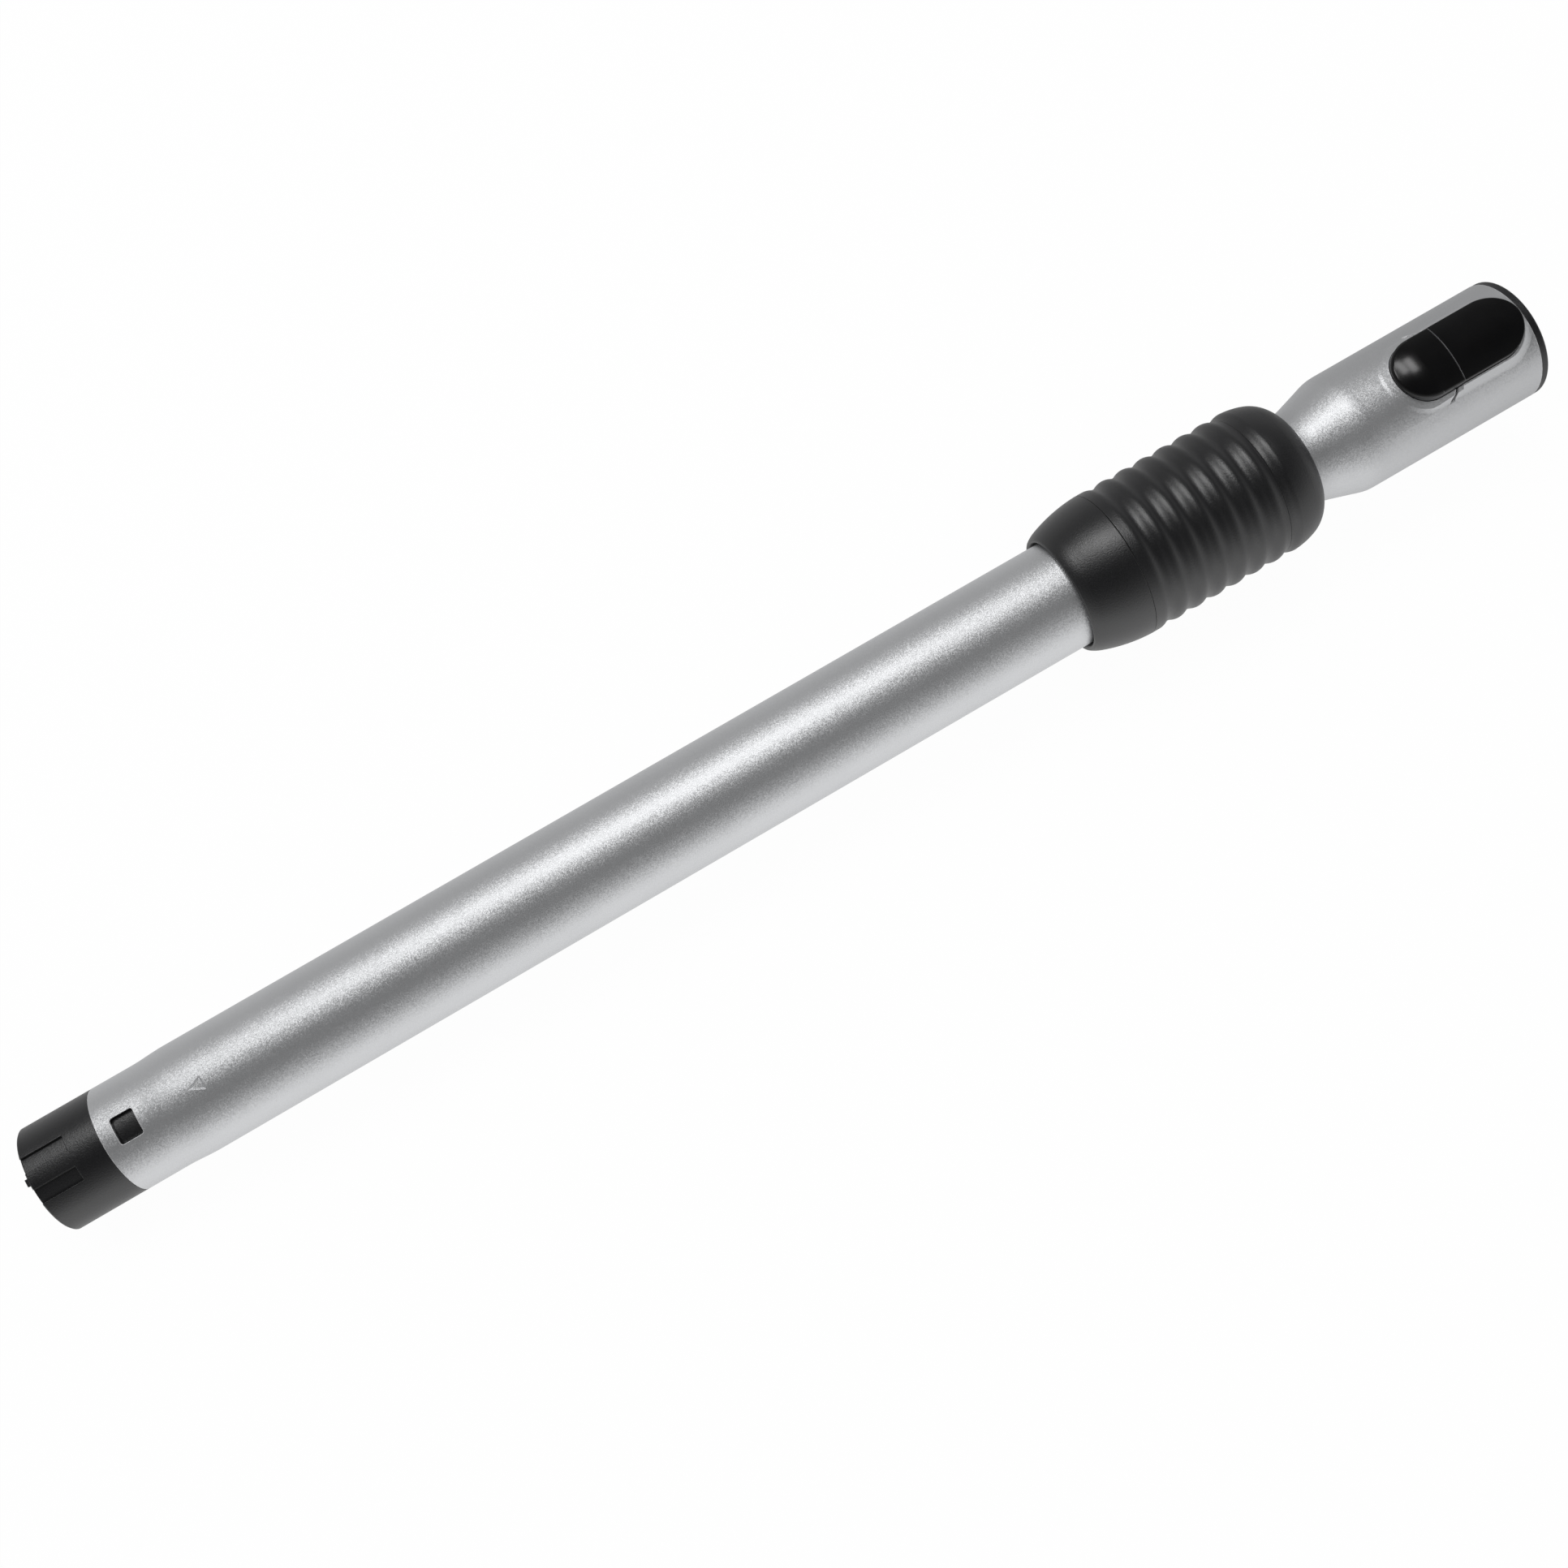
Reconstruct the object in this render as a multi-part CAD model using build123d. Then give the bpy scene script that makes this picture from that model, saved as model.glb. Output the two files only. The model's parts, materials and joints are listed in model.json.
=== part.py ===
from build123d import *
import os
from math import atan2, cos, hypot, radians, tan

# Telescopic vacuum cleaner tube, drawn retracted, in millimetres.
# +X runs along the tube from the nozzle end to the socket, +Z points up through the latch button,
# and the origin lies on the tube's axis at the nozzle end.

# Clearances
seat_gap = 0.05  # fixed pieces that seat in or on each other
slide_gap = 0.1  # sliding tubes in their bushes
move_gap = 0.3  # pieces that travel freely past each other
seam_gap = 0.15  # thin seams that show
past = 1.0  # how far a cutting shape runs past what it cuts

# Outer tube and its nozzle end
outer_r = 18.0
outer_wall = 0.9
nozzle_r = 17.5  # 35 mm connection
neck_length = 39.0
neck_taper = 7.0
neck_blend = 0.61  # share of the taper that its two bends take up
tube_into_grip = 13.0  # outer tube past the nose ring

# Features of the nozzle end, turned a little from the latch's line
feature_roll = 6.0
closing_angle = 30.0  # where the turned faces close, clear of the hole and the slots
hole_x = 28.3
hole_length = 7.5
hole_width = 8.6
hole_corner = 0.9
arrow_x = 52.9
arrow_length = 4.8
arrow_width = 5.3
arrow_depth = 0.35
arrow_slope = 50.0

# Black end sleeve
sleeve_show = 23.6
sleeve_spigot = 18.4
sleeve_wall = 1.95
sleeve_round = 0.4
pocket_depth = 0.8
tongue_width = 5.2
slot_width = 4.8
slot_length = 13.9
slot_depth = 0.9
nub_length = 0.8
nub_width = 2.3
nub_height = 1.2

# Guide bush in the top of the outer tube, and what it carries
guide_wall = 0.95
guide_spigot = 26.0
guide_flange = 2.5
cage_wall = 3.5
cage_past_sleeve = 5.0
wiper_width = 3.0
wiper_height = 1.7
wiper_land = 3.0
stop_ring_width = 2.0
stop_ring_land = 1.5
stop_ring_depth = 1.0
stop_ring_rise = 1.9

# Grip: nose ring, ribbed sleeve and end cap
nose_length = 19.5
nose_lip_top = 2.3
nose_lip_low = 0.85
nose_lip_round = 0.5
nose_mouth = 2.3
nose_shoulder = 3.5
nose_shoulder_drop = 3.2
nose_bow = 0.62
sleeve_space = 2.4  # between the cage and the sleeve, for the spring
grip_wall = 3.1
groove_first = 6.8
groove_pitch = 7.42
groove_count = 7
groove_depth = 0.95
cap_length = 15.6
cap_fall = 1.4
cap_bow = 0.25
cap_face = 2.0
cap_end_round = 5.0
cap_bore_gap = 1.8
cap_end_wall = 3.0
cap_spigot = 6.0
cap_spigot_wall = 1.1
cap_spigot_inset = 1.25
grip_travel = 8.0
ramp_wall = 1.0

# Grip spring and lock roller
spring_wire = 1.2
spring_turns = 6
web_width = 2.0
web_gap = 0.4
roller_r = 3.0
roller_length = 12.0
roller_chamfer = 0.5
roller_offset = 10.0
notch_depth = 1.6
notch_gap = 0.15
notch_pitch = 12.5
notch_steps = 24
roller_spare = 0.2  # lift beyond the notch's depth

# Inner tube, its slide bush and the flare to the socket
inner_wall = 0.8
slide_length = 17.6
slide_lip = 1.5
slide_lip_drop = 1.0
slide_seal_width = 3.0
slide_seal_height = 0.5
slide_seal_x = 6.0
stop_gap = 0.5
flare_clear = 5.0
flare_angle = 17.0
flare_bend = 15.0

# Socket and its liner
socket_play = 0.15
liner_wall = 1.9
liner_setback = 3.6
throat_play = 0.2
seal_setback = 2.25
seal_width = 2.0
seal_height = 2.0
mouth_play = 0.15
mouth_land = 1.8
end_ring = 2.7
end_ring_inset = 0.1
end_ring_round = 0.8
mouth_flare = 1.0

# Latch in the socket's housing
latch_setback = 16.1
latch_length = 45.5
latch_half = 10.55
latch_rise = 3.6
latch_to_end = 2.0
button_length = 18.5
dome_rise = 0.03
dome_drop = 2.0
button_skirt = 0.6
latch_skin = 1.3
latch_press = 6.0  # angle of a full press
button_round = 0.9
cover_round = 0.5
rim_tip = 0.15
rim_low = 0.9
rim_high = 1.6
rim_width = 0.5
flank_angle = 28.0
flank_depth = 5.0
flank_foot = 4.0
slit_width = 0.9
slit_angle = 43.0
slit_rise = 2.5
floor_wall = 0.75
barrel_r = 1.65
barrel_gap = 0.25
pin_r = 0.9
pin_gap = 0.05
pin_past_seam = 1.0
ear_inner = 4.1
ear_width = 1.7
ear_length = 3.4
ear_cap = 0.55
lever_half = 3.5
lever_thick = 1.4
lever_web = 6.5
hook_play = 0.9
hook_length = 5.0
hook_bite = 1.1
hook_land = 1.8
latch_spring_wire = 0.5
latch_spring_r = 2.2
latch_spring_turns = 3

# Radii worked out from the driving sizes
outer_bore = outer_r - outer_wall
guide_r = outer_bore - seat_gap
guide_bore = guide_r - guide_wall
inner_r = guide_bore - slide_gap
inner_bore = inner_r - inner_wall
cage_r = guide_bore + cage_wall
sleeve_bore = cage_r + sleeve_space
crest_r = sleeve_bore + grip_wall
groove_r = crest_r - groove_depth
wave_r = crest_r - groove_depth / 2
bore_r = nozzle_r + socket_play
liner_r = bore_r + liner_wall
socket_bore = liner_r + seat_gap
socket_r = socket_bore + inner_wall
mouth_r = outer_r + mouth_play
spigot_r = nozzle_r - outer_wall - seat_gap
end_bore = spigot_r - sleeve_wall
latch_r = socket_r + latch_rise
floor_r = bore_r + floor_wall
pin_z = floor_r + barrel_r + barrel_gap
roller_z = inner_r - notch_depth + roller_r

# Places along the tube worked out from the driving sizes
travel = notch_pitch * notch_steps
inner_x = neck_length + neck_taper + slide_lip + stop_gap
slide_end = inner_x + slide_length
guide_x = slide_end + travel + stop_gap
outer_end = guide_x + guide_spigot
nose_end = outer_end - tube_into_grip
nose_x = nose_end - nose_length
sleeve_x = nose_end + seam_gap
groove_x = nose_end + groove_first
sleeve_end = groove_x + groove_pitch * (groove_count - 1)
cap_end = sleeve_end + cap_length
cage_end = sleeve_end + cage_past_sleeve
stop_ring_x = cage_end - stop_ring_land - stop_ring_width
wiper_x = stop_ring_x - wiper_land - wiper_width
roller_x = outer_end + roller_offset
web_x = roller_x + roller_r + web_width
flare_x = cap_end + flare_clear
flare_end = flare_x + (socket_r - inner_r) / tan(radians(flare_angle))
liner_x = flare_end + liner_setback
latch_x = flare_end + latch_setback
latch_end = latch_x + latch_length
seam_x = latch_x + button_length
pin_x = seam_x + pin_past_seam
socket_end = latch_end + latch_to_end
mouth_end = socket_end + end_ring
seal_x = latch_x + seal_setback
mate_x = seal_x + seal_width
hook_x = mate_x + hole_x + hook_play
hook_end = hook_x + hook_length
mouth_x = hook_end + mouth_land
roller_lift = notch_depth + roller_spare


def turned(*edges):
    """Solid turned about the tube's axis from edges drawn as (x, radius)."""
    return revolve(make_face(edges), Axis.X)


def ring(x0, x1, r0, r1):
    """Plain ring between two places and two radii."""
    return turned(Polyline((x0, r0), (x1, r0), (x1, r1), (x0, r1), close=True))


def rod(x0, x1, r):
    """Solid round bar on the tube's axis."""
    return Pos(X=x0) * Rot(Y=90) * Cylinder(r, x1 - x0, align=(Align.CENTER, Align.CENTER, Align.MIN))


def cross_rod(x, z, r, half_length):
    """Round bar that lies across the tube."""
    return Pos(x, 0, z) * Rot(X=90) * Cylinder(r, 2 * half_length)


def block(x0, x1, y0, y1, z0, z1):
    """Box given by its sides."""
    return Pos((x0 + x1) / 2, (y0 + y1) / 2, (z0 + z1) / 2) * Box(x1 - x0, y1 - y0, z1 - z0)


def side_cut(half_width, *edges):
    """Solid drawn from the side as (x, z) edges and stretched across the tube both ways."""
    return extrude(Plane.XZ * make_face(edges), half_width, both=True)


def bow(start, end, rise):
    """Arc from start to end whose middle stands off the straight line, to its left, by rise."""
    across = Vector(*end) - Vector(*start)
    normal = Vector(-across.Y, across.X).normalized()
    middle = (Vector(*start) + Vector(*end)) / 2 + normal * rise
    return ThreePointArc(start, middle, end)


def oblong(x0, x1, half_width, z0, z1, taper=0):
    """Upright prism with round ends, narrowing upward by the taper angle."""
    face = Pos((x0 + x1) / 2, 0, z0) * SlotOverall(x1 - x0, 2 * half_width)
    return extrude(face, z1 - z0, taper=taper)


def coil(start, direction, length, coil_r, wire, turns):
    """Open coil spring of the given overall length."""
    rise = length - wire
    path = Helix(rise / turns, rise, coil_r, center=start + direction * wire / 2, direction=direction)
    section = Plane(path @ 0, z_dir=path % 0) * Circle(wire / 2)
    return sweep(section, path, is_frenet=True)


def outer_tube():
    """Painted steel tube with the necked nozzle end, the latch hole and the pressed arrow."""
    neck_end = neck_length + neck_taper
    start = sleeve_show + seat_gap
    neck_bore = nozzle_r - outer_wall

    def side(low, high):
        reach = neck_blend * hypot(high - low, neck_taper) / 2
        bend = reach / tan(atan2(abs(high - low), neck_taper) / 2)
        return FilletPolyline((start, low), (neck_length, low), (neck_end, high), (outer_end, high), radius=bend)

    tube = Rot(X=closing_angle) * turned(
        side(nozzle_r, outer_r),
        side(neck_bore, outer_bore),
        Line((start, neck_bore), (start, nozzle_r)),
        Line((outer_end, outer_bore), (outer_end, outer_r)),
    )
    hole = Pos(hole_x + hole_length / 2) * RectangleRounded(hole_length, hole_width, hole_corner)
    arrow = Polyline(
        (arrow_x, 0),
        (arrow_x + arrow_length, -arrow_width / 2),
        (arrow_x + arrow_length, arrow_width / 2),
        close=True,
    )
    inward = Plane((0, 0, outer_r), x_dir=(1, 0, 0), z_dir=(0, 0, -1))
    arrow = extrude(inward * make_face(arrow), 2 * arrow_depth, taper=arrow_slope)
    arrow -= rod(0, nose_x, outer_r - arrow_depth)
    return tube - Rot(X=feature_roll) * (extrude(hole, outer_r + past) + arrow)


def end_sleeve():
    """Black sleeve pressed into the nozzle end, with its tongue, key slots, nub and hook pocket."""
    spigot_end = sleeve_show + sleeve_spigot
    body = Rot(X=closing_angle) * turned(
        Polyline(
            (0, end_bore + sleeve_round),
            (sleeve_round, end_bore),
            (spigot_end, end_bore),
            (spigot_end, spigot_r),
            (sleeve_show, spigot_r),
            (sleeve_show, nozzle_r),
            (sleeve_round, nozzle_r),
            (0, nozzle_r - sleeve_round),
            close=True,
        )
    )
    slot_y = (tongue_width + slot_width) / 2
    cuts = [
        block(-past, slot_length, y - slot_width / 2, y + slot_width / 2, 0, outer_r)
        - rod(-past, slot_length, nozzle_r - slot_depth)
        for y in (-slot_y, slot_y)
    ]
    pocket = block(
        hole_x - move_gap,
        hole_x + hole_length + move_gap,
        -hole_width / 2 - move_gap,
        hole_width / 2 + move_gap,
        0,
        outer_r,
    )
    cuts.append(pocket - rod(0, spigot_end, spigot_r - pocket_depth))
    nub_top = nozzle_r - sleeve_round
    nub_low = nub_top - nub_height
    nub = block(-nub_length, nub_length, -nub_width / 2, nub_width / 2, nub_low, nub_top)
    return Rot(X=feature_roll) * (body - cuts + nub)


def grip_nose():
    """Fixed ring with a rounded front, seated on the outer tube below the sliding sleeve."""
    bore = outer_r + seat_gap
    top = (nose_end, crest_r)
    shoulder = (nose_x + nose_shoulder, crest_r - nose_shoulder_drop)
    lip_top = (nose_x + nose_lip_round, bore + nose_lip_top)
    lip_low = (nose_x + nose_lip_round, bore + nose_lip_low)
    mouth = (nose_x + nose_mouth, bore)
    side = bow(top, shoulder, -nose_bow)
    front = TangentArc(shoulder, lip_top, tangent=side % 1)
    lip = TangentArc(lip_top, lip_low, tangent=front % 1)
    inside = TangentArc(lip_low, mouth, tangent=lip % 1)
    nose = turned(side, front, lip, inside, Polyline(mouth, (nose_end, bore), top))
    return Rot(X=closing_angle) * nose


def ribbed_edge():
    """Soft waves of the sleeve's outside, as far as the bottom of the last groove."""
    quarter = groove_pitch / 4
    first = (groove_x - 2 * quarter, crest_r)
    edges = [Line((sleeve_x, crest_r), first)]
    edges.append(TangentArc(first, (groove_x - quarter, wave_r), tangent=(1, 0)))
    for step in range(groove_count - 1):
        x = groove_x + step * groove_pitch
        edges.append(ThreePointArc((x - quarter, wave_r), (x, groove_r), (x + quarter, wave_r)))
        crest = x + 2 * quarter
        edges.append(ThreePointArc((crest - quarter, wave_r), (crest, crest_r), (crest + quarter, wave_r)))
    last = TangentArc((sleeve_end, groove_r), (sleeve_end - quarter, wave_r), tangent=(-1, 0))
    return edges + [last]


def ramp(x):
    """Height of the ramp that the lock roller rides on, in the sleeve's wall below the tube."""
    slope = roller_lift / grip_travel
    reach = (roller_r + slide_gap) * (1 + slope**2) ** 0.5
    return -(roller_z + reach) + slope * (x - roller_x)


def grip_sleeve():
    """Ribbed sliding sleeve with the spring's web and the roller's ramp inside."""
    counterbore = crest_r - cap_spigot_inset - groove_depth + seat_gap
    inner = Polyline(
        (sleeve_end, groove_r),
        (sleeve_end, counterbore),
        (sleeve_end - cap_spigot - seam_gap, counterbore),
        (sleeve_end - cap_spigot - seam_gap, sleeve_bore),
        (web_x + web_width, sleeve_bore),
        (web_x + web_width, cage_r + web_gap),
        (web_x, cage_r + web_gap),
        (web_x, sleeve_bore),
        (sleeve_x, sleeve_bore),
        (sleeve_x, crest_r),
    )
    sleeve = turned(*ribbed_edge(), inner)
    half = roller_length / 2 + move_gap
    start = roller_x - grip_travel - roller_r
    side = half + ramp_wall
    pad = block(start, web_x + web_width / 2, -side, side, -sleeve_bore - past, past - cage_r)
    pad -= rod(start, web_x + web_width, cage_r + web_gap)
    path = Polyline(
        (start, ramp(start)),
        (web_x, ramp(web_x)),
        (web_x, 0),
        (start, 0),
        close=True,
    )
    return sleeve + pad - side_cut(half, path)


def grip_cap():
    """Smooth end flange of the sliding sleeve, plugged into its end."""
    quarter = groove_pitch / 4
    start = sleeve_end + seam_gap / 2
    crest = (sleeve_end + 2 * quarter, crest_r)
    wave = (sleeve_end + quarter, wave_r)
    edge = (cap_end - cap_end_round, crest_r - cap_fall)
    bore = inner_r + cap_bore_gap
    face = (cap_end, bore + cap_face)
    fall = bow(crest, edge, cap_bow)
    plug_r = crest_r - cap_spigot_inset - groove_depth
    plug_x = sleeve_end - cap_spigot
    hollow_end = cap_end - cap_end_wall
    plug_bore = plug_r - cap_spigot_wall
    return turned(
        TangentArc((start, groove_r), wave, tangent=(1, 0)),
        TangentArc(crest, wave, tangent=(-1, 0)),
        fall,
        TangentArc(edge, face, tangent=fall % 1),
        Polyline(
            face,
            (cap_end, bore + seam_gap),
            (cap_end - seam_gap, bore),
            (hollow_end, bore),
            (hollow_end, plug_bore),
            (plug_x, plug_bore),
            (plug_x, plug_r),
            (start, plug_r),
            (start, groove_r),
        ),
    )


def guide_bush():
    """Bush in the top of the outer tube, with the roller's window and the seats of seal and ring."""
    flange_end = outer_end + seat_gap + guide_flange
    wiper_r = guide_bore + wiper_height
    bush = turned(
        Polyline(
            (guide_x, guide_bore),
            (wiper_x, guide_bore),
            (wiper_x, wiper_r),
            (wiper_x + wiper_width, wiper_r),
            (wiper_x + wiper_width, guide_bore),
            (cage_end, guide_bore),
            (cage_end, cage_r),
            (stop_ring_x + stop_ring_width, cage_r),
            (stop_ring_x + stop_ring_width, cage_r - stop_ring_depth),
            (stop_ring_x, cage_r - stop_ring_depth),
            (stop_ring_x, cage_r),
            (flange_end, cage_r),
            (flange_end, outer_r),
            (outer_end + seat_gap, outer_r),
            (outer_end + seat_gap, guide_r),
            (guide_x, guide_r),
            close=True,
        )
    )
    half_x = roller_r + slide_gap
    half_y = roller_length / 2 + slide_gap
    window = block(roller_x - half_x, roller_x + half_x, -half_y, half_y, -sleeve_bore, 0)
    return bush - window


def wiper_seal():
    """Rubber ring between the guide bush and the inner tube."""
    start = wiper_x + seat_gap
    end = wiper_x + wiper_width - seat_gap
    top = guide_bore + wiper_height - seat_gap
    lip = ((start + end) / 2, inner_r + seat_gap)
    return turned(
        Polyline((start, guide_bore), lip, (end, guide_bore), (end, top), (start, top), close=True)
    )


def stop_ring():
    """Ring in the bush's groove that the grip spring pushes against."""
    seat = cage_r - stop_ring_depth + seat_gap
    end = stop_ring_x + stop_ring_width
    return ring(stop_ring_x + seat_gap, end - seat_gap, seat, cage_r + stop_ring_rise)


def grip_spring():
    """Coil spring that pushes the sleeve back against the nose ring."""
    start = web_x + web_width + seat_gap
    length = stop_ring_x - start
    coil_r = cage_r + sleeve_space / 2
    return coil(Vector(start, 0, 0), Vector(1, 0, 0), length, coil_r, spring_wire, spring_turns)


def lock_roller():
    """Steel roller that drops into a notch of the inner tube."""
    roller = cross_rod(roller_x, -roller_z, roller_r, roller_length / 2)
    return chamfer(roller.edges().filter_by(GeomType.CIRCLE), roller_chamfer)


def notch(step, r):
    """Bar across the tube at one of the roller's stops."""
    return cross_rod(roller_x - step * notch_pitch, -roller_z, r, inner_r)


def inner_form(r_low, r_high, shift, bend_low, bend_high):
    """Outline of the inner tube from its low end to the socket, for one of its two surfaces."""
    return FilletPolyline(
        (inner_x, r_low),
        (flare_x + shift, r_low),
        (flare_end + shift, r_high),
        (socket_end, r_high),
        radius=[bend_low, bend_high],
    )


def under_rim(x0, x1, drop):
    """Round space under the housing's rim, which rises from the button's tip to the seam."""
    tip = socket_r + rim_tip - drop
    low = socket_r + rim_low - drop
    return turned(
        Polyline((x0, 0), (x0, tip), (latch_x, tip), (seam_x, low), (x1, low), (x1, 0), close=True)
    )


def on_socket(edge):
    """Whether an edge runs along the socket's round outside."""
    points = edge.positions((0, 0.25, 0.5, 0.75, 1))
    return all(abs((point.Y**2 + point.Z**2) ** 0.5 - socket_r) < seam_gap for point in points)


def latch_housing():
    """Pressed wall around the latch, low beside the button and high beside the cover, and its hollow."""
    base_z = socket_r - flank_depth
    rim_r = socket_r + rim_high
    edge = rim_width + seam_gap
    side = latch_half + edge
    spread = tan(radians(flank_angle))
    side_reach = ((rim_r**2 - side**2) ** 0.5 - base_z) * spread
    end_reach = edge + (rim_r - base_z) * spread
    wall = inner_wall / cos(radians(flank_angle))
    start = latch_x - latch_half

    def shell(inset):
        reach = end_reach - inset
        half = side + side_reach - inset
        return oblong(latch_x - reach, latch_end + reach, half, base_z, latch_r + past, taper=flank_angle)

    pressed = rod(start, socket_end, socket_r) + shell(0)
    foot = pressed.edges().filter_by(on_socket).filter_by_position(Axis.X, start + past, socket_end - past)
    pressed = fillet(foot, flank_foot)
    outside = pressed & (under_rim(start, socket_end, 0) + rod(seam_x, socket_end, rim_r))
    inside = shell(wall) & under_rim(start, latch_end, wall / 2)
    return outside, inside


def flank_slit():
    """Slanted slit in the housing's flanks where the button ends and the cover begins."""
    slant = tan(radians(slit_angle))
    foot = seam_x - flank_depth * slant
    low = socket_r - flank_depth
    top = (seam_x + slit_rise * slant, socket_r + slit_rise)
    path = Polyline((foot - slit_width, low), (foot + slit_width, low), top, close=True)
    beside = latch_half - rim_width
    return side_cut(outer_r, path) - block(liner_x, mouth_end, -beside, beside, 0, latch_r + past)


def inner_tube():
    """Sliding steel tube with the row of lock notches, the flare and the socket's latch housing."""
    bend_shift = inner_wall * tan(radians(flare_angle / 2))
    outside = inner_form(inner_r, socket_r, 0, flare_bend, flare_bend)
    wide = flare_bend + inner_wall
    inside = inner_form(inner_bore, socket_bore, bend_shift, wide, flare_bend - inner_wall)
    tube = turned(
        outside,
        inside,
        Line((inner_x, inner_bore), (inner_x, inner_r)),
        Line((socket_end, socket_bore), (socket_end, socket_r)),
    )
    steps = range(notch_steps + 1)
    core = rod(inner_x, flare_x, inner_r - inner_wall / 2)
    tube += [notch(step, roller_r + notch_gap + inner_wall) & core for step in steps]
    tube -= [notch(step, roller_r + notch_gap) for step in steps]
    housing, hollow = latch_housing()
    tube = tube + housing - hollow - rod(liner_x, mouth_end, socket_bore)
    half = latch_half + seam_gap
    opening = oblong(latch_x - seam_gap, latch_end + seam_gap, half, 0, latch_r + past)
    return tube - opening - flank_slit()


def slide_bush():
    """Plastic bush on the inner tube's low end, which stops it at full length."""
    bore = inner_r + seat_gap
    top = outer_bore - slide_gap
    groove = top - slide_seal_height
    seal = inner_x + slide_seal_x
    return turned(
        Polyline(
            (inner_x - slide_lip, inner_r - slide_lip_drop),
            (inner_x - seat_gap, inner_r - slide_lip_drop),
            (inner_x - seat_gap, bore),
            (slide_end, bore),
            (slide_end, top),
            (seal + slide_seal_width, top),
            (seal + slide_seal_width, groove),
            (seal, groove),
            (seal, top),
            (inner_x - slide_lip, top),
            close=True,
        )
    )


def slide_seal():
    """Felt band in the slide bush."""
    start = inner_x + slide_seal_x + seat_gap
    end = inner_x + slide_seal_x + slide_seal_width - seat_gap
    top = outer_bore - slide_gap
    return ring(start, end, top - slide_seal_height + seat_gap, top)


def over_floor(x0, x1, half_width):
    """Room cut in the top of the liner, down to its thin floor."""
    return block(x0, x1, -half_width, half_width, 0, latch_r) - rod(x0, x1, floor_r)


def socket_liner():
    """Black liner of the socket with the stepped bore, the end ring and the latch's seat."""
    throat = inner_bore + throat_play
    ring_r = socket_r - end_ring_inset
    face = (mouth_end, ring_r - end_ring_round)
    rim = (mouth_end - end_ring_round, ring_r)
    liner = turned(
        Polyline(
            (liner_x, throat),
            (seal_x, throat),
            (seal_x, bore_r),
            (mouth_x, bore_r),
            (mouth_x, mouth_r),
            (mouth_end - mouth_flare, mouth_r),
            (mouth_end, mouth_r + mouth_flare / 2),
            face,
        ),
        TangentArc(face, rim, tangent=(0, 1)),
        Polyline(
            rim,
            (socket_end + seat_gap, ring_r),
            (socket_end + seat_gap, liner_r),
            (liner_x, liner_r),
            (liner_x, throat),
        ),
    )
    under_cover = latch_half - latch_skin - seat_gap
    liner -= over_floor(latch_x - move_gap, seam_x, latch_half + move_gap)
    liner -= over_floor(seam_x, mouth_x, under_cover - move_gap)
    slot_half = lever_half + move_gap
    liner -= block(hook_x - hook_play, hook_end + hook_play, -slot_half, slot_half, 0, latch_r)
    ears = [
        block(pin_x - ear_length / 2, pin_x + ear_length / 2, y, y + ear_width, 0, pin_z + pin_r + ear_cap)
        for y in (ear_inner, -ear_inner - ear_width)
    ]
    ears = [ear - rod(liner_x, mouth_end, floor_r - floor_wall / 2) for ear in ears]
    return liner + ears - cross_rod(pin_x, pin_z, pin_r + seat_gap, latch_half)


def socket_seal():
    """Rubber ring at the bottom of the socket."""
    return ring(seal_x, mate_x, bore_r - seal_height, bore_r - seat_gap)


def latch_form(x0, x1, inset):
    """Oblong of the latch with its round top, shrunk by inset and cut to a stretch of its length."""
    form = oblong(latch_x + inset, latch_end - inset, latch_half - inset, 0, latch_r + past)
    return form & rod(x0, x1, latch_r - inset)


def top_edges(form):
    """Edges where the latch's round top meets its upright sides, without the seam's arc."""
    top = form.faces().sort_by(Axis.Z)[-1]
    return top.edges().filter_by(GeomType.CIRCLE, reverse=True)


def latch_cover():
    """Fixed gloss cover over the hook, seated on the liner."""
    start = seam_x + seam_gap / 2
    cover = latch_form(start, latch_end, 0) - rod(liner_x, mouth_end, liner_r + seat_gap)
    cover = fillet(top_edges(cover), cover_round)
    return cover - latch_form(liner_x, latch_end, latch_skin)


def beyond_dome(inset):
    """Space over the domed end of the press pad, or over its hollow when inset."""
    centre = latch_x + latch_half
    half = latch_half - inset
    edge = (half - button_round, latch_r - dome_drop - inset)
    crown = TangentArc((0, latch_r + dome_rise - inset), edge, tangent=(1, 0))
    rim = TangentArc(edge, (half, edge[1] - button_round), tangent=crown % 1)
    sides = Polyline(rim @ 1, (half, 0), (0, 0), crown @ 0)
    dome = Pos(X=centre) * revolve(Plane.XZ * make_face([crown, rim, sides]), Axis.Z)
    side = latch_half + past
    return block(latch_x - past, centre, -side, side, past, latch_r + past) - dome


def latch_pad():
    """Hollow press pad of the button, domed at one end and cut back below the pin at the other."""
    end = seam_x - seam_gap / 2
    pad = latch_form(latch_x, end, 0) - rod(liner_x, mouth_end, socket_r + rim_low - button_skirt)
    pad = fillet(top_edges(pad), button_round) - beyond_dome(0)
    low = pin_z - flank_depth
    swing = end - flank_depth * tan(radians(latch_press))
    relief = Polyline((end, pin_z), (swing, low), (end + past, low), (end + past, pin_z), close=True)
    hollow = latch_form(latch_x, end, latch_skin) - beyond_dome(latch_skin)
    return pad - hollow - side_cut(latch_half + past, relief)


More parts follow.
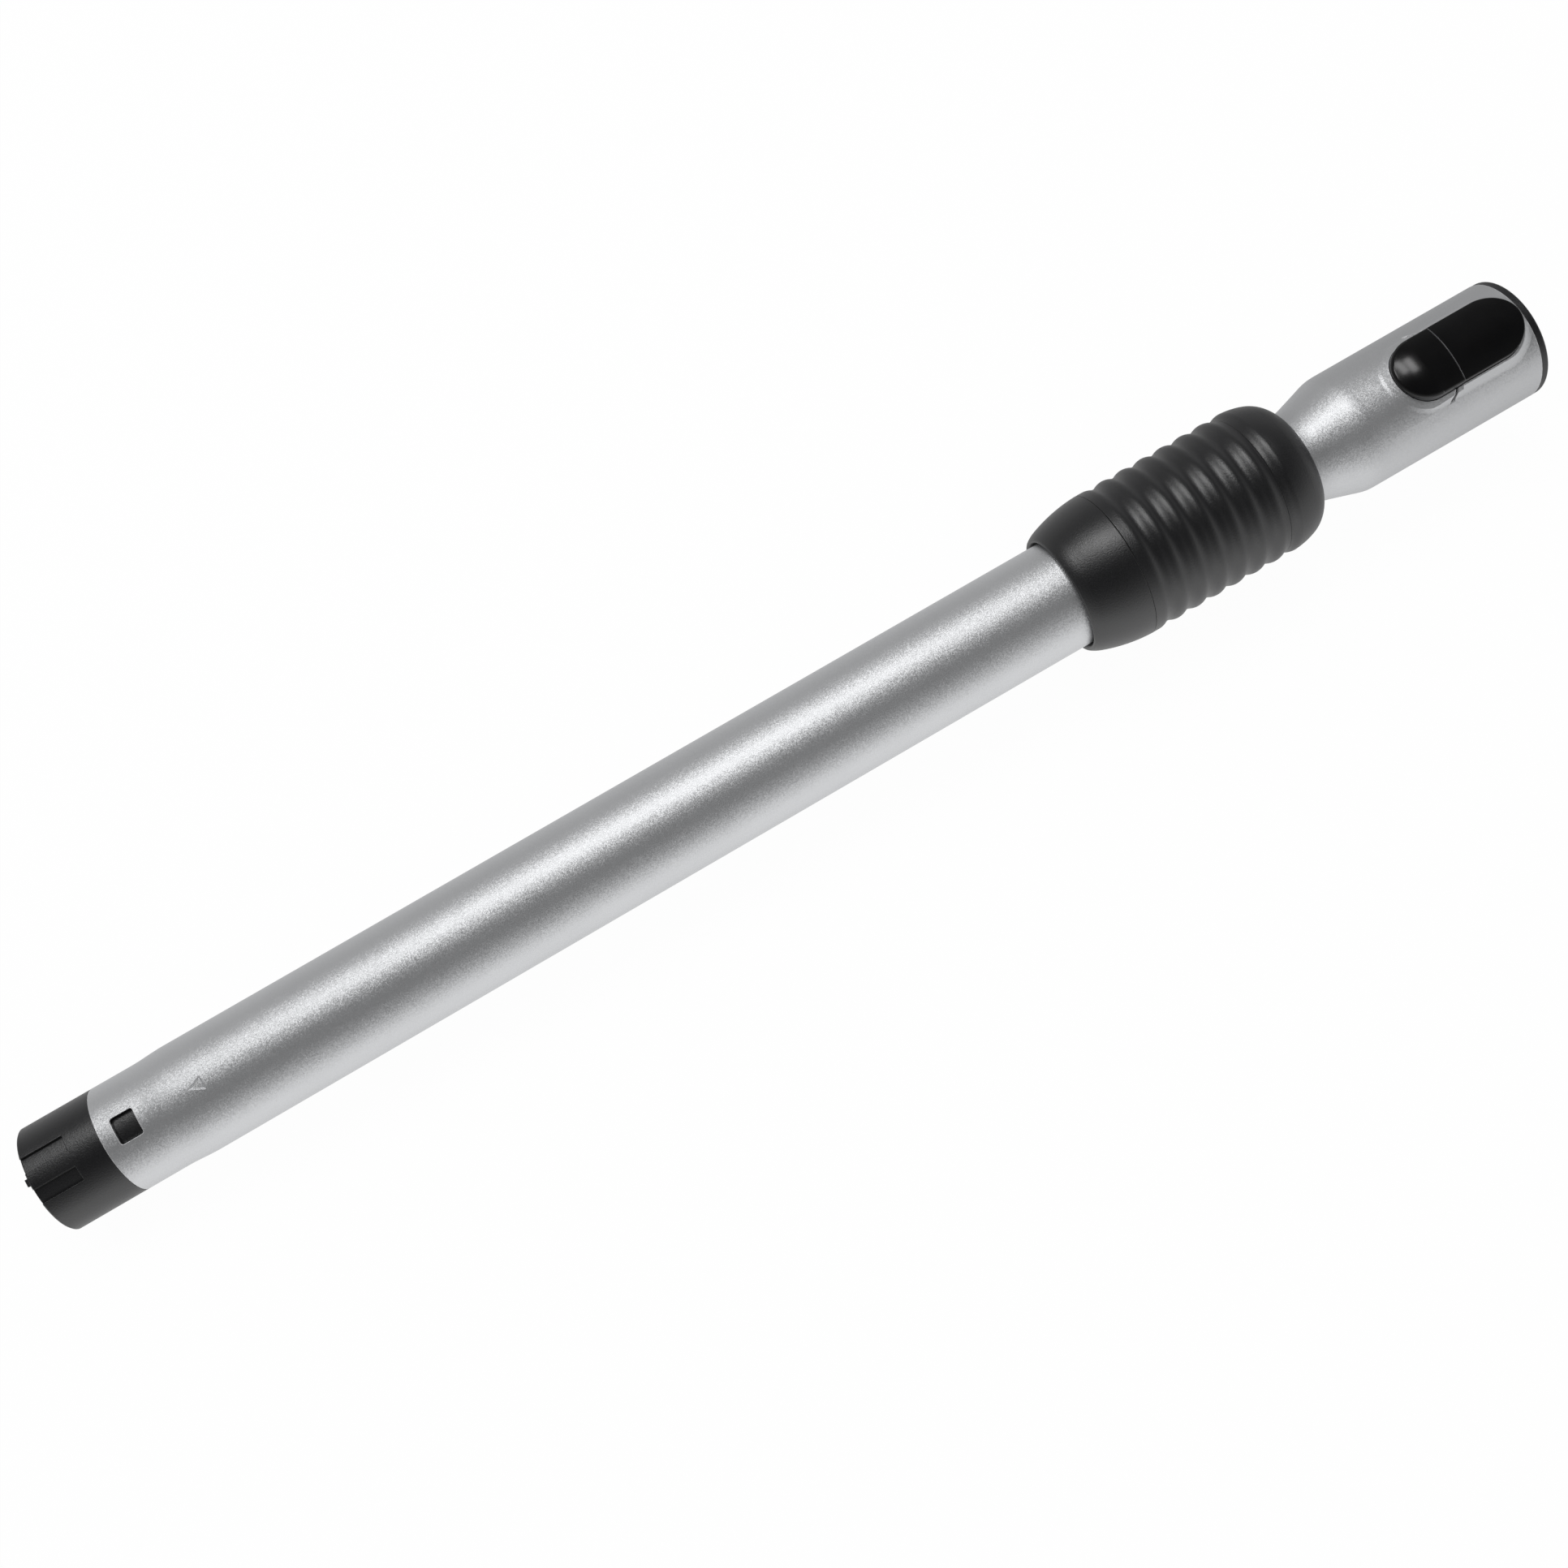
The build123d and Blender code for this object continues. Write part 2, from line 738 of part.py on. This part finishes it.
def latch_button():
    """Gloss rocker: press pad, lever under the cover, pivot barrel and hook."""
    lever_low = pin_z - lever_thick
    tip = nozzle_r - hook_bite
    lever = Polyline(
        (pin_x, lever_low),
        (hook_x, lever_low),
        (hook_x, tip),
        (hook_x + hook_land, tip),
        (hook_end, bore_r + move_gap),
        (hook_end, pin_z - move_gap),
        (pin_x, pin_z),
        close=True,
    )
    web_low = pin_z - move_gap
    web = Polyline(
        (pin_x - lever_web, web_low),
        (pin_x, web_low),
        (pin_x, pin_z + barrel_r),
        (seam_x - 2 * seam_gap, pin_z + barrel_r),
        (seam_x - 2 * seam_gap, latch_r - latch_skin / 2),
        (pin_x - lever_web, latch_r - latch_skin / 2),
        close=True,
    )
    arm = side_cut(lever_half, lever) + side_cut(lever_half, web)
    arm += cross_rod(pin_x, pin_z, barrel_r, lever_half)
    return latch_pad() + arm - cross_rod(pin_x, pin_z, pin_r + pin_gap, latch_half)


def latch_pin():
    """Steel pin that the button rocks on."""
    return cross_rod(pin_x, pin_z, pin_r, ear_inner + ear_width)


def latch_spring():
    """Small coil spring under the press pad."""
    start = floor_r + seat_gap
    outside = latch_spring_r + latch_spring_wire / 2
    ceiling = ((latch_r - latch_skin) ** 2 - outside**2) ** 0.5 - seat_gap
    place = Vector(pin_x - lever_web - move_gap - outside, 0, start)
    up = Vector(0, 0, 1)
    return coil(place, up, ceiling - start, latch_spring_r, latch_spring_wire, latch_spring_turns)


pieces = [
    outer_tube,
    end_sleeve,
    grip_nose,
    grip_sleeve,
    grip_cap,
    guide_bush,
    wiper_seal,
    stop_ring,
    grip_spring,
    lock_roller,
    inner_tube,
    slide_bush,
    slide_seal,
    socket_liner,
    socket_seal,
    latch_cover,
    latch_button,
    latch_pin,
    latch_spring,
]

os.makedirs("parts", exist_ok=True)
for piece in pieces:
    export_step(piece(), f"parts/{piece.__name__}.step")
print(f"retracted {mouth_end:.1f} mm, extended {mouth_end + travel:.1f} mm, roller at {roller_x:.1f} mm")
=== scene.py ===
# %% [markdown]
# # A telescopic vacuum cleaner tube
# The object is a silver painted steel tube in two lengths, with a ribbed black grip between them
# and a socket with a press button at the top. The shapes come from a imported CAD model, and this
# lesson gives them their finishes, puts them on a white floor and looks at them with one camera.

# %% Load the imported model
import bpy
import json
import math
from mathutils import Matrix, Vector

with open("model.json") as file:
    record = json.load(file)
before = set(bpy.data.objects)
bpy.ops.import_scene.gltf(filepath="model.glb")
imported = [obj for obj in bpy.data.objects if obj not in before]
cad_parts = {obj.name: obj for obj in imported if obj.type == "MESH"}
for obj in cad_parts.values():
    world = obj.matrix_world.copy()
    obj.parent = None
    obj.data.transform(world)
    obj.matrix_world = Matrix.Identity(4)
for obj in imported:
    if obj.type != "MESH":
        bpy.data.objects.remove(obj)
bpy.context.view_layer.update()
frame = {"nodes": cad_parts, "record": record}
nodes = frame["nodes"]
print(len(nodes), "pieces")

# %% [markdown]
# ## The camera
# The photograph is taken from above the grip, with the tube running from the lower left corner to
# the upper right one. A camera can be aimed with a constraint, but its roll would still need
# setting. Here the picture's right and up directions are written down as vectors in the tube's own
# frame, and the camera's matrix is put together from them, so the roll is right from the start.

# %% Camera
PICTURE_SIDE = 1932
FOCAL_PIXELS = 2238.2
SENSOR_MM = 36.0
CLIP_NEAR, CLIP_FAR = 0.01, 50.0
CAMERA_PLACE = Vector((0.20407, -0.1349, 0.5533))
PICTURE_RIGHT = Vector((0.862112, -0.505130, -0.040130))
PICTURE_UP = Vector((0.499499, 0.833830, 0.235000))


def standing(place, right, up, back):
    """Matrix of an object at a place, with its own three axes along these directions."""
    return Matrix.Translation(place) @ Matrix((right, up, back)).transposed().to_4x4()


camera_data = bpy.data.cameras.new("picture_camera")
camera_data.sensor_width = SENSOR_MM
camera_data.lens = FOCAL_PIXELS / PICTURE_SIDE * SENSOR_MM
camera_data.clip_start = CLIP_NEAR
camera_data.clip_end = CLIP_FAR
camera = bpy.data.objects.new("picture_camera", camera_data)
picture_right = PICTURE_RIGHT.normalized()
picture_back = picture_right.cross(PICTURE_UP).normalized()
picture_up = picture_back.cross(picture_right)
camera.matrix_world = standing(CAMERA_PLACE, picture_right, picture_up, picture_back)
bpy.context.scene.collection.objects.link(camera)
bpy.context.scene.camera = camera
bpy.context.scene.view_settings.view_transform = "Standard"
print("camera with a lens of", round(camera_data.lens, 2), "mm")

# %% [markdown]
# ## Shader maths as Python
# A finish is a tree of nodes, and long trees are hard to read when every link is a line of its own.
# A small class can hold one socket and overload the operators, so that `1 - mask * 0.5` adds its
# two Math nodes by itself. Every other node goes through one method.

# %% A wire through a node tree
BEVEL_SAMPLES = 8


class Wire:
    """A value on a socket of a node tree."""

    def __init__(self, tree, socket=None):
        self.tree = tree
        self.socket = socket

    def node(self, kind, settings=(), sockets=(), out=0):
        """Adds a node, sets its settings, fills or links its sockets, and gives one output."""
        made = self.tree.nodes.new("ShaderNode" + kind)
        for name, value in dict(settings).items():
            setattr(made, name, value)
        for name, value in dict(sockets).items():
            if isinstance(value, Wire):
                self.tree.links.new(value.socket, made.inputs[name])
            else:
                made.inputs[name].default_value = value
        return Wire(self.tree, made.outputs[out] if made.outputs else None)

    def other(self, out):
        """Another output of the node that this value comes from."""
        return Wire(self.tree, self.socket.node.outputs[out])

    def math(self, operation, first, second):
        return self.node("Math", {"operation": operation}, {0: first, 1: second})

    def __add__(self, other):
        return self.math("ADD", self, other)

    def __radd__(self, other):
        return self.math("ADD", other, self)

    def __sub__(self, other):
        return self.math("SUBTRACT", self, other)

    def __rsub__(self, other):
        return self.math("SUBTRACT", other, self)

    def __mul__(self, other):
        return self.math("MULTIPLY", self, other)

    def __rmul__(self, other):
        return self.math("MULTIPLY", other, self)

    def tint(self, low, high):
        """Colour between two colours, with this value as the factor."""
        return self.node("Mix", {"data_type": "RGBA"}, {0: self, 6: (*low, 1), 7: (*high, 1)}, 2)

    def blend(self, low, high):
        """Colour between a colour on a wire and a plain one, with this value as the factor."""
        return self.node("Mix", {"data_type": "RGBA"}, {0: self, 6: low, 7: (*high, 1)}, 2)

    def ramp(self, start, end, low, high):
        """Value that goes from low to high while this one goes from start to end."""
        limits = {"From Min": start, "From Max": end, "To Min": low, "To Max": high}
        return self.node("MapRange", (), {"Value": self, **limits})

    def place(self):
        """Place on the object in metres, in the frame of the tube."""
        return self.node("TexCoord", out="Object")

    def noise(self, per_metre, detail=2.0, roughness=0.5):
        """Soft noise from 0 to 1 with about so many blots in a metre."""
        sockets = {"Vector": self.place(), "Scale": per_metre, "Detail": detail}
        return self.node("TexNoise", (), {**sockets, "Roughness": roughness}, "Fac")

    def rounded(self, radius):
        """Normal of the surface as if its edges were rounded by the radius in metres."""
        return self.node("Bevel", {"samples": BEVEL_SAMPLES}, {"Radius": radius})

    # This edge mask carries painted highlights: it lights sharp edges with a paler colour.
    def painted_edge_highlight(self, rounded, gain):
        """Mask that is 1 on an edge and 0 away from it, from a rounded normal."""
        flat = self.node("NewGeometry", out="Normal")
        pair = {0: flat, 1: rounded}
        alike = self.node("VectorMath", {"operation": "DOT_PRODUCT"}, pair, "Value")
        return self.math("MINIMUM", (1 - alike) * gain, 1.0)

    def bump(self, height, distance, strength=1.0, normal=None):
        """Normal of a surface that rises with the height by the distance in metres."""
        sockets = {"Height": height, "Distance": distance, "Strength": strength}
        if normal is not None:
            sockets["Normal"] = normal
        return self.node("Bump", (), sockets)


def finish(name, make):
    """New material whose shader is what the function makes."""
    material = bpy.data.materials.new(name)
    material.use_nodes = True
    material.node_tree.nodes.clear()
    wire = Wire(material.node_tree)
    wire.node("OutputMaterial", (), {"Surface": make(wire)})
    print("finish", name, "with", len(material.node_tree.nodes), "nodes")
    return material


# %% [markdown]
# ## Silver paint
# The steel is sprayed with a fine metallic silver. Close up it is a crowd of tiny flakes, each
# lying at its own small tilt, which is why the paint sparkles most where it looks dark. A speckled
# colour would give grain everywhere alike. Tilting the normal in small cells gives the sparkle
# where the light around changes, as on the real tube. Cut edges are a little rounded by the paint,
# and a bevelled normal lets them catch the light. A painted highlight also makes the paint paler
# and less like metal along them.

# %% Silver paint
FLAKES_PER_METRE = 4200.0
FLAKE_TILT = 0.20
FLAKE_MIDDLE = (0.5, 0.5, 0.5)
PAINT_EDGE = 0.00025
EDGE_GAIN = 6.0
PAINT_COLOURS = (0.770, 0.778, 0.792), (0.815, 0.823, 0.837)
# The pale edge colour is a painted highlight along cut edges. It stands in for the light they
# catch.
PAINTED_EDGE_HIGHLIGHT = (0.93, 0.93, 0.95)
EDGE_HIGHLIGHT_METAL_LOSS = 0.7
PAINT_ROUGH, PAINT_ROUGH_SPREAD = 0.49, 0.04


def silver_paint(wire):
    cells = {"Vector": wire.place(), "Scale": FLAKES_PER_METRE}
    flake = wire.node("TexVoronoi", (), cells, "Color")
    lean = wire.node("VectorMath", {"operation": "SUBTRACT"}, {0: flake, 1: FLAKE_MIDDLE})
    lean = wire.node("VectorMath", {"operation": "SCALE"}, {0: lean, "Scale": FLAKE_TILT})
    rounded = wire.rounded(PAINT_EDGE)
    painted_edge_highlight = wire.painted_edge_highlight(rounded, EDGE_GAIN)
    peel = wire.bump(wire.noise(per_metre=260.0), distance=0.000008, normal=rounded)
    tilted = wire.node("VectorMath", {"operation": "ADD"}, {0: peel, 1: lean})
    normal = wire.node("VectorMath", {"operation": "NORMALIZE"}, {0: tilted})
    cloud = wire.noise(per_metre=45.0, detail=3.0)
    return wire.node("BsdfPrincipled", (), {
        # Painted highlight: the edge mask blends the paint towards a pale colour, with less metal,
        # along cut edges.
        "Base Color": painted_edge_highlight.blend(cloud.tint(*PAINT_COLOURS), PAINTED_EDGE_HIGHLIGHT),
        "Metallic": 1 - painted_edge_highlight * EDGE_HIGHLIGHT_METAL_LOSS,
        "Roughness": PAINT_ROUGH + wire.noise(per_metre=900.0) * PAINT_ROUGH_SPREAD,
        "Normal": normal,
    })


# %% [markdown]
# ## Charcoal plastic
# The grip, its cap and the two end rings are moulded in a tool with a fine spark-eroded grain. The
# grain is far smaller than any groove, so it isn't modelled: noise bumps the normal and breaks up
# the roughness, and the colour shifts a little between the grain's tops and its pits. A bevelled
# normal under the grain softens the edges along the seams.

# %% Charcoal plastic
SEAM_EDGE = 0.0004
CHARCOAL_COLOURS = (0.0018, 0.0019, 0.0026), (0.0062, 0.0065, 0.0082)
CHARCOAL_ROUGH, GRAIN_ROUGH, RUB_ROUGH = 0.26, 0.16, 0.06
CHARCOAL_IOR, CHARCOAL_SPECULAR = 1.7, 0.6


def charcoal_plastic(wire):
    grain = wire.noise(per_metre=2000.0, detail=3.0, roughness=0.6)
    rub = wire.noise(per_metre=70.0, detail=4.0)
    seam = wire.rounded(SEAM_EDGE)
    return wire.node("BsdfPrincipled", (), {
        "Base Color": grain.tint(*CHARCOAL_COLOURS),
        "Roughness": CHARCOAL_ROUGH + grain * GRAIN_ROUGH + rub * RUB_ROUGH,
        "IOR": CHARCOAL_IOR,
        "Specular IOR Level": CHARCOAL_SPECULAR,
        "Normal": wire.bump(grain, distance=0.00007, strength=0.9, normal=seam),
    })


# %% [markdown]
# ## Polished black
# The press button and its cover come from a polished tool. A perfect mirror looks drawn rather than
# moulded, so the surface gets a very faint waviness and a haze where thumbs have rubbed it. The
# sharp edges along the seam get a painted highlight in light grey: a bevelled normal differs from
# the plain one only there, and that difference is the mask.

# %% Polished black
POLISHED_EDGE = 0.0002
POLISHED_COLOURS = (0.002, 0.002, 0.0022), (0.004, 0.004, 0.0043)
# This grey is a painted highlight along the sharp edges of the seam.
PAINTED_SEAM_HIGHLIGHT = (0.26, 0.26, 0.27)
POLISHED_ROUGH, HAZE_ROUGH = 0.15, 0.1


def polished_black(wire):
    haze = wire.noise(per_metre=120.0, detail=5.0, roughness=0.6)
    wave = wire.noise(per_metre=160.0, detail=0.0)
    rounded = wire.rounded(POLISHED_EDGE)
    painted_edge_highlight = wire.painted_edge_highlight(rounded, EDGE_GAIN)
    return wire.node("BsdfPrincipled", (), {
        # Painted highlight: the edge mask blends the black towards light grey along the seam's
        # sharp edges.
        "Base Color": painted_edge_highlight.blend(haze.tint(*POLISHED_COLOURS), PAINTED_SEAM_HIGHLIGHT),
        "Roughness": POLISHED_ROUGH + haze * HAZE_ROUGH,
        "Normal": wire.bump(wave, distance=0.00002, strength=0.5, normal=rounded),
    })


# %% [markdown]
# ## The inside pieces
# The bushes are natural bearing plastic, the seals soft rubber and pressed felt, and the springs,
# ring, pin and roller drawn steel. They are hidden when the tube is whole, but each still gets the
# finish of its own stuff, because the tube can be taken apart and looked at. The four are alike in
# how they are made: one noise shifts both colour and roughness, so one function makes them.

# %% Bearing plastic, rubber, felt and drawn steel
def mottled(wire, mottle, colours, rough, spread, normal, metallic=0.0):
    """Shader whose colour and roughness both follow one noise."""
    return wire.node("BsdfPrincipled", (), {
        "Base Color": mottle.tint(*colours),
        "Metallic": metallic,
        "Roughness": rough + mottle * spread,
        "Normal": normal,
    })


def bearing_plastic(wire):
    flow = wire.noise(per_metre=90.0, detail=3.0)
    grain = wire.bump(wire.noise(per_metre=1500.0), distance=0.00003, strength=0.4)
    colours = (0.66, 0.65, 0.60), (0.74, 0.73, 0.69)
    return mottled(wire, flow, colours, rough=0.38, spread=0.12, normal=grain)


def seal_rubber(wire):
    dust = wire.noise(per_metre=400.0, detail=4.0, roughness=0.65)
    grain = wire.bump(wire.noise(per_metre=2200.0), distance=0.00004, strength=0.5)
    colours = (0.014, 0.014, 0.014), (0.036, 0.036, 0.035)
    return mottled(wire, dust, colours, rough=0.62, spread=0.2, normal=grain)


def pressed_felt(wire):
    fibre = wire.noise(per_metre=3000.0, detail=5.0, roughness=0.7)
    nap = wire.bump(fibre, distance=0.0003, strength=0.8)
    colours = (0.20, 0.19, 0.18), (0.42, 0.41, 0.39)
    return mottled(wire, fibre, colours, rough=0.86, spread=0.12, normal=nap)


def drawn_steel(wire):
    drawn = wire.noise(per_metre=1200.0, detail=4.0)
    scratch = wire.bump(drawn, distance=0.00002, strength=0.5)
    colours = (0.50, 0.50, 0.49), (0.66, 0.66, 0.65)
    return mottled(wire, drawn, colours, rough=0.22, spread=0.16, normal=scratch, metallic=1.0)


# %% [markdown]
# ## Dressing the pieces
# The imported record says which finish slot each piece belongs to. One table turns a slot into a
# material, so a piece that is added later finds its finish by itself.

# %% Give every piece its finish
finishes = {
    "silver_paint": finish("silver_paint", silver_paint),
    "black_plastic": finish("charcoal_plastic", charcoal_plastic),
    "black_gloss": finish("polished_black", polished_black),
    "bush_plastic": finish("bearing_plastic", bearing_plastic),
    "seal_rubber": finish("seal_rubber", seal_rubber),
    "grey_felt": finish("pressed_felt", pressed_felt),
    "bright_steel": finish("drawn_steel", drawn_steel),
}
for subpart in frame["record"]["subparts"]:
    piece = nodes[subpart["node"]]
    piece.data.materials.clear()
    piece.data.materials.append(finishes[subpart["material_slot"]])
    print(piece.name, "gets", piece.active_material.name)

# %% [markdown]
# ## The floor
# A long tube lies on its widest ring and on its far end, so the floor leans a little against the
# tube's axis. It is white to the camera without more light on the tube, because light on the floor
# would also wash out the silver: the camera sees mostly a white glow, mixed with just enough of the
# lit floor to keep the shadow. What the paint mirrors is brighter on the near side than on the far
# one, and dimmer under the socket, as in a studio with a window behind the camera.

# %% Floor
RING_X, RING_R = 0.3791, 0.0251
NOZZLE_R = 0.0175
FLOOR_GAP = 0.0001
FLOOR_HALF = 6.0
FLOOR_WHITE = (0.86, 0.86, 0.86, 1)
FLOOR_GLOW = 0.97
NEAR_MIRROR, FAR_MIRROR = 1.0, 0.45
MIRROR_SPAN = 0.24
DIM_FROM, DIM_TO = 0.40, 0.54
DIM_MIRROR = 0.65


def white_floor(wire):
    camera_ray = wire.node("LightPath", out="Is Camera Ray")
    mirror_ray = camera_ray.other("Is Glossy Ray")
    clear_ray = camera_ray.other("Is Transmission Ray")
    place = wire.node("NewGeometry", out="Position")
    across = wire.node("SeparateXYZ", (), {"Vector": place}, "Y")
    near = across.ramp(MIRROR_SPAN / 2, -MIRROR_SPAN / 2, FAR_MIRROR, NEAR_MIRROR)
    dim = across.other("X").ramp(DIM_FROM, DIM_TO, 1.0, DIM_MIRROR)
    glow = wire.node("Emission", (), {"Color": camera_ray + clear_ray + mirror_ray * near * dim})
    matt = wire.node("BsdfDiffuse", (), {"Color": FLOOR_WHITE})
    factor = wire.math("MAXIMUM", camera_ray * FLOOR_GLOW, mirror_ray + clear_ray)
    return wire.node("MixShader", (), {0: factor, 1: matt, 2: glow})


lean = (RING_R - NOZZLE_R) / RING_X
floor_mesh = bpy.data.meshes.new("white_floor")
corners = [(x, y, -NOZZLE_R - FLOOR_GAP - x * lean) for x, y in (
    (-FLOOR_HALF, -FLOOR_HALF), (FLOOR_HALF, -FLOOR_HALF),
    (FLOOR_HALF, FLOOR_HALF), (-FLOOR_HALF, FLOOR_HALF),
)]
floor_mesh.from_pydata(corners, [], [(0, 1, 2, 3)])
floor_mesh.materials.append(finish("white_floor", white_floor))
floor = bpy.data.objects.new("white_floor", floor_mesh)
bpy.context.scene.collection.objects.link(floor)
print("floor leans", round(math.degrees(math.atan(lean)), 2), "degrees")

# %% [markdown]
# ## Light
# A row of soft boxes hangs beyond the tube. Together they draw the bright band along it and the
# small highlights on the domed button. The room itself is darkest overhead and lighter towards the
# horizon, which leaves the dark band beside the bright one. A dome picture could do this too, but a
# few sums on the ray's direction are enough.

# %% Soft boxes
BOX_PLACES = (
    Vector((-0.40, 1.06, 1.83)),
    Vector((0.29, 0.96, 1.83)),
    Vector((0.73, 0.76, 1.83)),
)
BOX_AIM = Vector((0.31, 0.0, 0.0))
BOX_SIDES = (0.34, 0.85)
BOX_WATTS = 5.6
ALONG_TUBE = Vector((1, 0, 0))

for place in BOX_PLACES:
    box_data = bpy.data.lights.new("soft_box", "AREA")
    box_data.shape = "RECTANGLE"
    box_data.size, box_data.size_y = BOX_SIDES
    box_data.energy = BOX_WATTS
    box_light = bpy.data.objects.new("soft_box", box_data)
    back = (place - BOX_AIM).normalized()
    upward = back.cross(ALONG_TUBE).normalized()
    box_light.matrix_world = standing(place, upward.cross(back), upward, back)
    bpy.context.scene.collection.objects.link(box_light)
print(len(BOX_PLACES), "soft boxes of", BOX_WATTS, "W")

# %% Room
ROOM_DIFFUSE = 0.62
ROOM_TOP = 0.02
ROOM_NEAR, ROOM_FAR = 0.85, 0.40

world = bpy.data.worlds.new("studio")
world.use_nodes = True
world.node_tree.nodes.clear()
sky = Wire(world.node_tree)
camera_ray = sky.node("LightPath", out="Is Camera Ray")
mirror_ray = camera_ray.other("Is Glossy Ray")
across = sky.node("SeparateXYZ", (), {"Vector": sky.node("TexCoord", out="Generated")}, "Y")
rim = (ROOM_NEAR + ROOM_FAR) / 2 - across * ((ROOM_NEAR - ROOM_FAR) / 2)
low = 1 - sky.math("MAXIMUM", across.other("Z"), 0.0)
mirrored = ROOM_TOP + (rim - ROOM_TOP) * low * low
unseen = mirror_ray * mirrored + (1 - mirror_ray) * ROOM_DIFFUSE
room = sky.node("Background", (), {"Color": camera_ray + (1 - camera_ray) * unseen})
sky.node("OutputWorld", (), {"Surface": room})
bpy.context.scene.world = world
print("room of", len(world.node_tree.nodes), "nodes")
